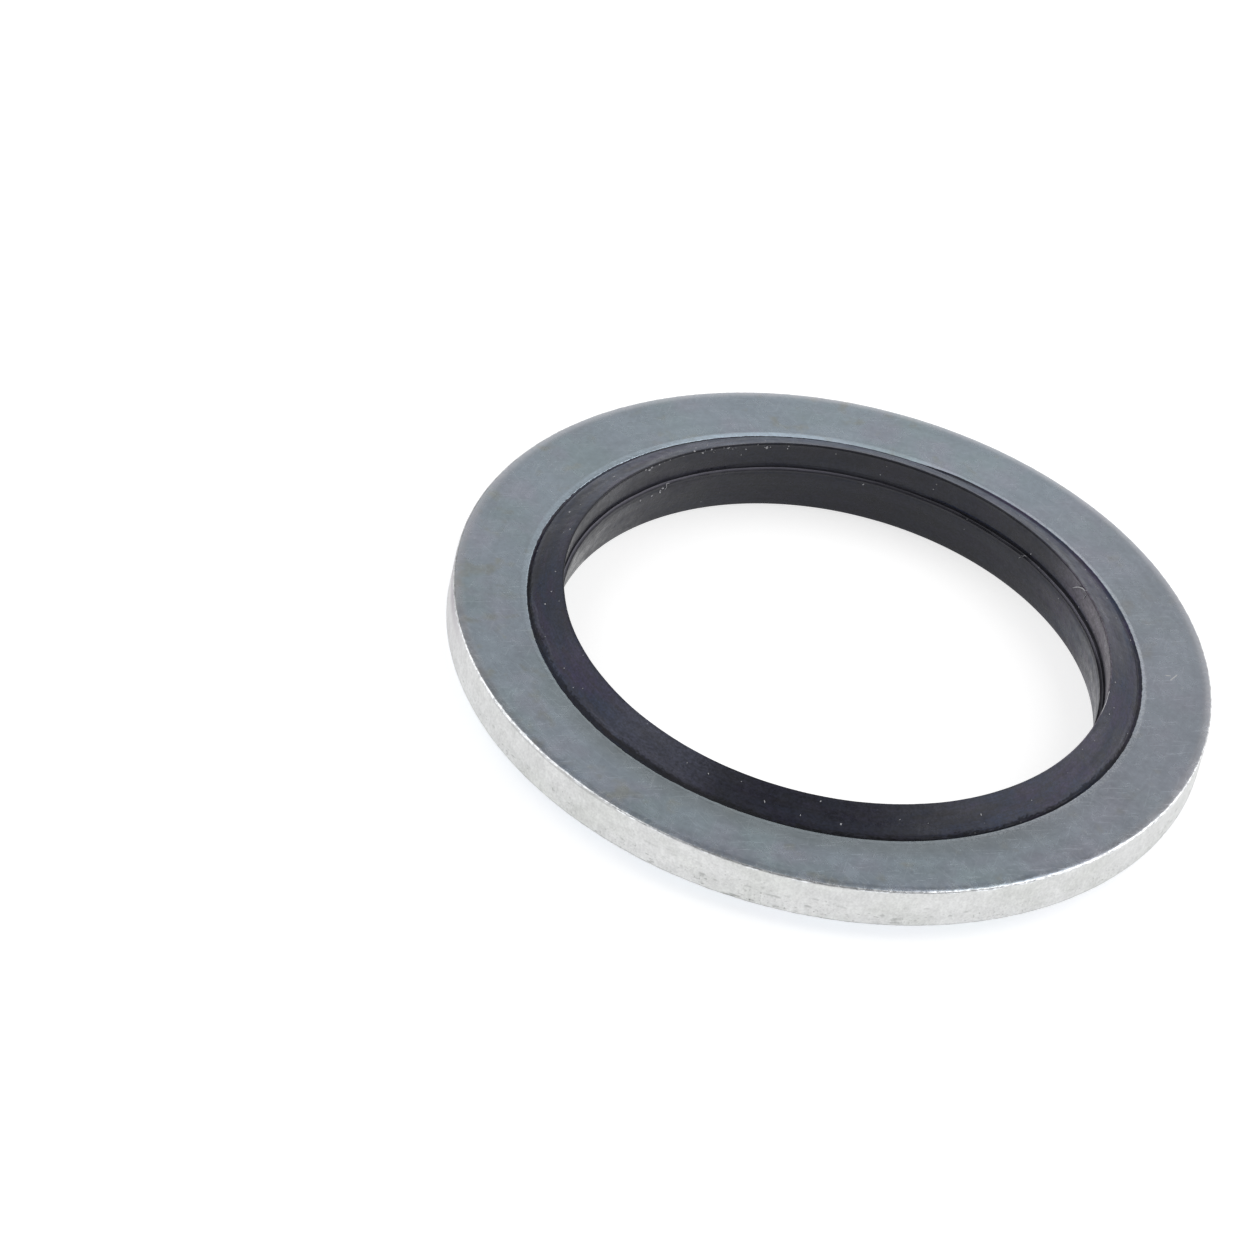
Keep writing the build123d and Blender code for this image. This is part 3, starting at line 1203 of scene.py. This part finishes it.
    def root_path(self, angle: float) -> float:
        """Gives the radius of the seal's root, which bulges at the front left and along the right.

        Args:
            angle: Angle of a point of it.

        Returns:
            Its radius there.
        """
        front = ramp(self.apart(angle, self.front_bulge_deg), self.front_reach_deg, 0)
        past = (math.degrees(angle) - self.side_bulge_deg[0]) % 360
        length = (self.side_bulge_deg[1] - self.side_bulge_deg[0]) % 360
        side = ramp(past, 0, self.side_rise_deg) * ramp(past, length + 5, length - 5)
        return self.sizes.root_low_r + self.bulge * (front + self.side_share * side)

    def root_move(self, radius: float, height: float, angle: float) -> Point:
        """Lets the seal's root wander over the ring's rounded edge.

        Args:
            radius: Radius of a point.
            height: Height of the point.
            angle: Angle of the point.

        Returns:
            Its moves in radius and height.
        """
        s = self.sizes
        upper = height > (s.lower_face_z + s.upper_face_z) / 2
        share = ramp(radius, s.root_r - s.groove_width - s.shoulder_width, s.root_r - 0.01)
        edge_point = (s.root_r, s.upper_face_z if upper else s.lower_face_z, angle)
        ragged = self.teeth.at(*edge_point) + self.fringe.at(*edge_point)
        ragged *= 0.4 + 0.6 * ramp(-math.sin(angle), -0.9, -0.4)
        path = self.root_path(angle) - s.root_r
        outward = share * (path + self.sway.at(*edge_point) + ragged)
        rise = s.seat_drop(radius) - s.seat_drop(radius + outward) + share * self.lap
        return outward, rise if upper else -rise

    def bore_move(self, radius: float, height: float, angle: float) -> Triple:
        """Makes the bore uneven, and fills its undercut and gutter along a stretch of the moulding line.

        Args:
            radius: Radius of a point.
            height: Height of the point.
            angle: Angle of the point.

        Returns:
            Its moves in radius and height, and how scarred the surface is there.
        """
        s = self.sizes
        place = (radius, height, angle)
        scar = 0.0
        at_ledge = ramp(height, s.land_bottom_z - 0.15, s.land_bottom_z)
        at_ledge *= ramp(height, s.ledge_z + 0.2, s.ledge_z + 0.04)
        outward = self.wall_skin * self.skin.at(*place) + self.wall_crease * self.crease.at(*place)
        outward += at_ledge * self.bead_sway * self.bead_wave.at(radius, 0.0, angle)
        wave = self.bead_rise * self.bead_wave.at(0.5 + radius, 0.0, angle)
        upward = at_ledge * (self.rag.at(*place) + wave)
        filled = ramp(self.apart(angle, self.filled_deg), *self.filled_reach_deg)
        foot_r = s.crest_inner_r + s.wall_lean
        if radius > foot_r + 2 * self.slack and height > s.ledge_z - s.gutter_depth - self.slack:
            outward -= self.undercut_fill * filled * (radius - foot_r)
        in_gutter = abs(height - s.ledge_z + s.gutter_depth) < self.slack
        if in_gutter and radius > s.land_r + s.land_round[0] + self.slack:
            upward += self.gutter_fill * filled * (s.ledge_z - height)
        off_bead = abs(radius - s.land_r - s.bead_setback)
        if abs(height - s.ledge_z) < s.gutter_depth and off_bead < s.bead_radius + self.slack:
            swing = self.bead_size.at(s.land_r, 0.0, angle)
            upward += self.bead_lift * filled + 0.5 * (height - s.ledge_z) * swing
            clean = ramp(self.apart(angle, self.clean_deg), *self.clean_reach_deg)
            clean += ramp(abs(angle), 0.4, 0.2)
            scar = (1 - 0.8 * clean) * ramp(self.bead_size.at(s.land_r, 3.0, angle) + filled, -0.35, 0.1)
        return outward, upward, scar

    def shift(self, radius: float, height: float, angle: float) -> Triple:
        """Gives the rubber its soft unevenness, its wandering root and its ragged moulding line.

        Args:
            radius: Radius of a point.
            height: Height of the point.
            angle: Angle of the point.

        Returns:
            Its moves in radius and height, and how scarred the surface is there.
        """
        s = self.sizes
        place = (radius, height, angle)
        outward = upward = scar = 0.0
        if height > s.upper_face_z - self.root_margin or height < s.lower_face_z + self.root_margin:
            outward, upward = self.root_move(*place)
        if s.upper_face_z < height:
            lift = ramp(height, s.upper_face_z, s.top_z - 0.1)
            skin = self.skin_depth * self.skin.at(*place) + self.skin_depth * self.crease.at(*place)
            upward += skin + self.grit.at(*place)
            upward -= lift * self.crest_sag * (1 + self.crest_wave.at(*place))
            outward += lift * self.crest_sway * self.crest_wave.at(radius, 0.0, angle + 1.0)
        elif radius < s.crest_inner_r + s.wall_lean + s.undercut[0] + 2 * self.slack:
            across, along, scar = self.bore_move(*place)
            outward += across
            upward += along
        return outward, upward, scar

    def build(self) -> bpy.types.Object:
        """Makes the seal, which stands for the CAD node.

        Returns:
            The seal.
        """
        piece = spin_ring("moulded_seal", self.outline(), self.steps, self.shift)
        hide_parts("rubber_seal")
        dress(piece, RubberFinish(self.sizes).material())
        return piece


@dataclass(frozen=True)
class FlashFinish:
    """Thin, dusty scraps of trimmed rubber."""

    pale: Color = (0.72, 0.72, 0.74, 1.0)
    darker_tone: Color = (0.3, 0.3, 0.33, 1.0)
    patches: Pattern = Pattern(0.15, 41.0)
    matt: Pattern = Pattern(0.2, 42.0, result=(0.5, 0.8))
    grain: Pattern = Pattern(0.05, 43.0)
    relief_depth: float = 0.01

    def material(self) -> bpy.types.Material:
        """Builds the material.

        Returns:
            The material.
        """
        graph = Graph("trimmed_flash")
        graph.set(Socket.COLOR, graph.tint(self.darker_tone, self.pale, graph.plain(self.patches)))
        graph.set(Socket.ROUGHNESS, graph.patterns(self.matt))
        graph.bump(graph.plain(self.grain), self.relief_depth)
        return graph.material


@dataclass(frozen=True)
class Thread:
    """A thin hair of flash that lies on the seal, in millimetres and degrees from +X.

    Attributes:
        start: Angle and height of its first end.
        end: Angle and height of its last end.
        radius: Radius of the seal near it.
        thickness: Its thickness in the middle.
        bend: How far its middle is pushed up the seal.
    """

    start: Point
    end: Point
    radius: float = 9.38
    thickness: float = 0.03
    bend: float = 0.05


@dataclass(frozen=True)
class Patch:
    """A stretch of the seal where crumbs lie, in millimetres.

    Attributes:
        turn: Angle of its middle, in degrees from +X.
        reach: How far it reaches on each side of its middle, in degrees.
        low: Radius and height of the seal at its lower end.
        high: Radius and height of the seal at its upper end.
        count: Number of crumbs.
        size: Radii of the smallest and the largest crumb.
    """

    turn: float
    reach: float
    low: Point
    high: Point
    count: int
    size: Point


@dataclass
class Litter:
    """Threads and crumbs of trimmed flash and dust that cling to the seal."""

    seed: int = 7
    sides: int = 6
    parts: int = 8
    crest_thread: Thread = Thread((30, 2.68), (35, 2.15), thickness=0.04, bend=0.1)
    crest_branch: Thread = Thread((29.5, 2.6), (30.5, 2.2), thickness=0.02)
    right_ledge_thread: Thread = Thread((50, 1.72), (51.5, 1.45), radius=9.26, thickness=0.025)
    left_ledge_thread: Thread = Thread((135, 1.66), (136.5, 1.45), radius=9.26, thickness=0.035)
    front_thread: Thread = Thread((357, 2.7), (349, 2.7), thickness=0.025, bend=0.02)
    front_branch: Thread = Thread((356, 2.74), (358, 2.5), thickness=0.03)
    back_lip: Patch = Patch(125, 18, (9.37, 2.45), (9.38, 2.7), 26, (0.018, 0.05))
    left_land: Patch = Patch(140, 5, (9.2, 1.38), (9.22, 1.6), 5, (0.035, 0.055))
    outer_flank: Patch = Patch(0, 180, (10.45, 2.1), (9.5, 2.6), 40, (0.014, 0.04))
    inner_wall: Patch = Patch(0, 180, (9.3, 1.2), (9.35, 2.65), 26, (0.012, 0.035))
    thread_lift: Point = (0.3, 0.5)
    thread_taper: Point = (0.35, 0.65)
    crumb_length: Point = (0.8, 1.5)
    crumb_width: Point = (0.5, 0.9)
    crumb_height: float = 0.6
    crumb_roughness: float = 0.3

    def point(self, turn: float, radius: float, height: float) -> Vector:
        """Gives a place in metres from an angle in degrees, and a radius and a height in millimetres."""
        angle = math.radians(turn)
        return Vector((radius * math.cos(angle), radius * math.sin(angle), height)) * MM

    def add_thread(self, form: bmesh.types.BMesh, seal: BVHTree, thread: Thread) -> None:
        """Sweeps a thin, pointed tube along the seal.

        Args:
            form: The shape it is added to.
            seal: The seal's surface.
            thread: What it is like.
        """
        centres = []
        low_lift, lift = self.thread_lift
        narrow, taper = self.thread_taper
        for step in range(self.parts + 1):
            part = step / self.parts
            arch = math.sin(math.pi * part)
            turn = thread.start[0] + (thread.end[0] - thread.start[0]) * part
            height = thread.start[1] + (thread.end[1] - thread.start[1]) * part + thread.bend * arch
            near, normal, _, _ = seal.find_nearest(self.point(turn, thread.radius, height))
            centres.append(near + normal * thread.thickness * MM * (low_lift + lift * arch))
        before = None
        for step, centre in enumerate(centres):
            ahead = centres[min(step + 1, self.parts)] - centres[max(step - 1, 0)]
            width = thread.thickness / 2 * MM * (narrow + taper * math.sin(math.pi * step / self.parts))
            place = Matrix.Translation(centre) @ ahead.to_track_quat("Z", "Y").to_matrix().to_4x4()
            disc = bmesh.ops.create_circle(
                form, cap_ends=True, segments=self.sides, radius=width, matrix=place
            )
            ring = disc["verts"]
            inner = [face for face in form.faces if all(vert in ring for vert in face.verts)]
            if 0 < step < self.parts:
                bmesh.ops.delete(form, geom=inner, context="FACES_ONLY")
            edges = list(dict.fromkeys(edge for vert in ring for edge in vert.link_edges))
            if before is not None:
                bmesh.ops.bridge_loops(form, edges=before + edges)
            before = edges

    def add_crumb(self, form: bmesh.types.BMesh, seal: BVHTree, patch: Patch, rng: random.Random) -> None:
        """Presses a small rough lump on to the seal.

        Args:
            form: The shape it is added to.
            seal: The seal's surface.
            patch: Where it lies.
            rng: Source of its place and shape.
        """
        part = rng.random()
        radius = patch.low[0] + (patch.high[0] - patch.low[0]) * part
        height = patch.low[1] + (patch.high[1] - patch.low[1]) * part
        turn = patch.turn + rng.uniform(-patch.reach, patch.reach)
        size = rng.uniform(*patch.size) * MM
        near, normal, _, _ = seal.find_nearest(self.point(turn, radius, height))
        upright = normal.to_track_quat("Z", "Y").to_matrix().to_4x4()
        turned = upright @ Matrix.Rotation(rng.uniform(0, math.pi), 4, "Z")
        length, width = rng.uniform(*self.crumb_length), rng.uniform(*self.crumb_width)
        place = Matrix.Translation(near) @ turned @ Matrix.Diagonal((length, width, self.crumb_height, 1.0))
        lump = bmesh.ops.create_icosphere(form, subdivisions=1, radius=size, matrix=place)
        for vert in lump["verts"]:
            vert.co += (vert.co - near) * rng.uniform(-self.crumb_roughness, self.crumb_roughness)

    def build(self, seal: bpy.types.Object) -> None:
        """Makes the threads and the crumbs on the finished seal.

        Args:
            seal: The seal they cling to.
        """
        seal_form = bmesh.new()
        seal_form.from_mesh(seal.data)
        surface = BVHTree.FromBMesh(seal_form)
        rng = random.Random(self.seed)
        finish = FlashFinish().material()
        form = bmesh.new()
        right = (self.crest_thread, self.crest_branch, self.right_ledge_thread)
        for thread in (*right, self.left_ledge_thread, self.front_thread, self.front_branch):
            self.add_thread(form, surface, thread)
        bmesh.ops.recalc_face_normals(form, faces=form.faces)
        dress(finish_mesh("flash_threads", form), finish)
        form = bmesh.new()
        for patch in (self.back_lip, self.left_land, self.outer_flank, self.inner_wall):
            for _ in range(patch.count):
                self.add_crumb(form, surface, patch, rng)
        bmesh.ops.recalc_face_normals(form, faces=form.faces)
        dress(finish_mesh("flash_crumbs", form), finish)
        seal_form.free()


@dataclass
class Studio:
    """Pale floor, soft light and the camera."""

    sizes: WasherSizes
    floor_size: float = 3.0
    floor_color: float = 0.68
    floor_roughness: float = 0.9
    floor_lift: float = 0.6
    white: Color = (1.0, 1.0, 1.0, 1.0)
    dome: tuple[Point, ...] = ((0.1, 0.95), (0.3, 0.66), (0.58, 0.53), (0.67, 0.17), (1.0, 0.36))
    left_watts: float = 1.9
    right_watts: float = 2.7
    left_place: Triple = (-0.52, 0.06, 0.5)
    right_place: Triple = (0.5, 0.16, 0.5)
    box_size: Point = (0.8, 0.75)
    elevation_deg: float = 38.35
    roll_deg: float = 13.41
    camera_range: float = 241.27
    aim: Point = (-6.828, -2.348)
    lens: float = 207.82
    sensor_width: float = 36.0
    clip_start: float = 0.01

    def floor(self) -> None:
        """Lays a white floor under the washer."""
        form = bmesh.new()
        bmesh.ops.create_grid(form, x_segments=1, y_segments=1, size=self.floor_size / 2)
        floor = finish_mesh("floor", form)
        graph = Graph("white_floor")
        grey = self.floor_color
        graph.set(Socket.COLOR, (grey, grey, grey, 1.0))
        graph.set(Socket.ROUGHNESS, self.floor_roughness)
        path = graph.add("ShaderNodeLightPath").outputs
        seen = graph.most(path["Is Camera Ray"], path["Is Glossy Ray"], path["Is Transmission Ray"])
        graph.feed(graph.shader.inputs["Emission Color"], self.white)
        graph.feed(graph.shader.inputs["Emission Strength"], graph.times(seen, self.floor_lift))
        floor.data.materials.append(graph.material)

    def world(self) -> None:
        """Surrounds the washer with a pale horizon under a grey dome."""
        world = bpy.data.worlds.new("studio")
        bpy.context.scene.world = world
        world.use_nodes = True
        tree = world.node_tree
        back = tree.nodes["Background"]
        coords = tree.nodes.new("ShaderNodeTexCoord")
        split = tree.nodes.new("ShaderNodeSeparateXYZ")
        dome = tree.nodes.new("ShaderNodeValToRGB")
        tree.links.new(coords.outputs["Generated"], split.inputs[0])
        tree.links.new(split.outputs["Z"], dome.inputs[0])
        tree.links.new(dome.outputs["Color"], back.inputs["Color"])
        stops = dome.color_ramp.elements
        for step, (height, grey) in enumerate(self.dome):
            stop = stops[step] if step < 2 else stops.new(height)
            stop.position = height
            stop.color = (grey, grey, grey, 1.0)

    def lamp(self, name: str, place: Triple, watts: float) -> None:
        """Adds a soft box that faces the washer.

        Args:
            name: Name of the lamp.
            place: Its place, in metres.
            watts: Its power.
        """
        data = bpy.data.lights.new(name, "AREA")
        data.shape = "RECTANGLE"
        data.size, data.size_y = self.box_size
        data.energy = watts
        lamp = bpy.data.objects.new(name, data)
        lamp.location = place
        lamp.rotation_euler = (-lamp.location).to_track_quat("-Z", "Y").to_euler()
        bpy.context.scene.collection.objects.link(lamp)

    def camera(self) -> None:
        """Sets the camera."""
        data = bpy.data.cameras.new("camera")
        data.lens = self.lens
        data.sensor_width = self.sensor_width
        data.clip_start = self.clip_start
        camera = bpy.data.objects.new("camera", data)
        bpy.context.scene.collection.objects.link(camera)
        elevation = math.radians(self.elevation_deg)
        back = Vector((0, -math.cos(elevation), math.sin(elevation)))
        aim = Vector((*self.aim, self.sizes.upper_face_z)) * MM
        tilt = Matrix.Rotation(math.pi / 2 - elevation, 4, "X")
        roll = Matrix.Rotation(math.radians(self.roll_deg), 4, "Z")
        camera.matrix_world = Matrix.Translation(aim + back * self.camera_range * MM) @ tilt @ roll
        bpy.context.scene.camera = camera

    def build(self) -> None:
        """Sets floor, light and camera."""
        bpy.context.scene.view_settings.view_transform = "Standard"
        self.floor()
        self.world()
        self.lamp("left_box", self.left_place, self.left_watts)
        self.lamp("right_box", self.right_place, self.right_watts)
        self.camera()


def main() -> None:
    """Builds the washer's pieces and the studio round them."""
    logging.basicConfig(level=logging.INFO, format="%(name)s: %(message)s")
    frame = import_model()
    sizes = WasherSizes.from_frame(frame["record"])
    SteelRing(sizes).build()
    seal = RubberSeal(sizes).build()
    Litter().build(seal)
    Studio(sizes).build()


if __name__ == "__main__":
    main()
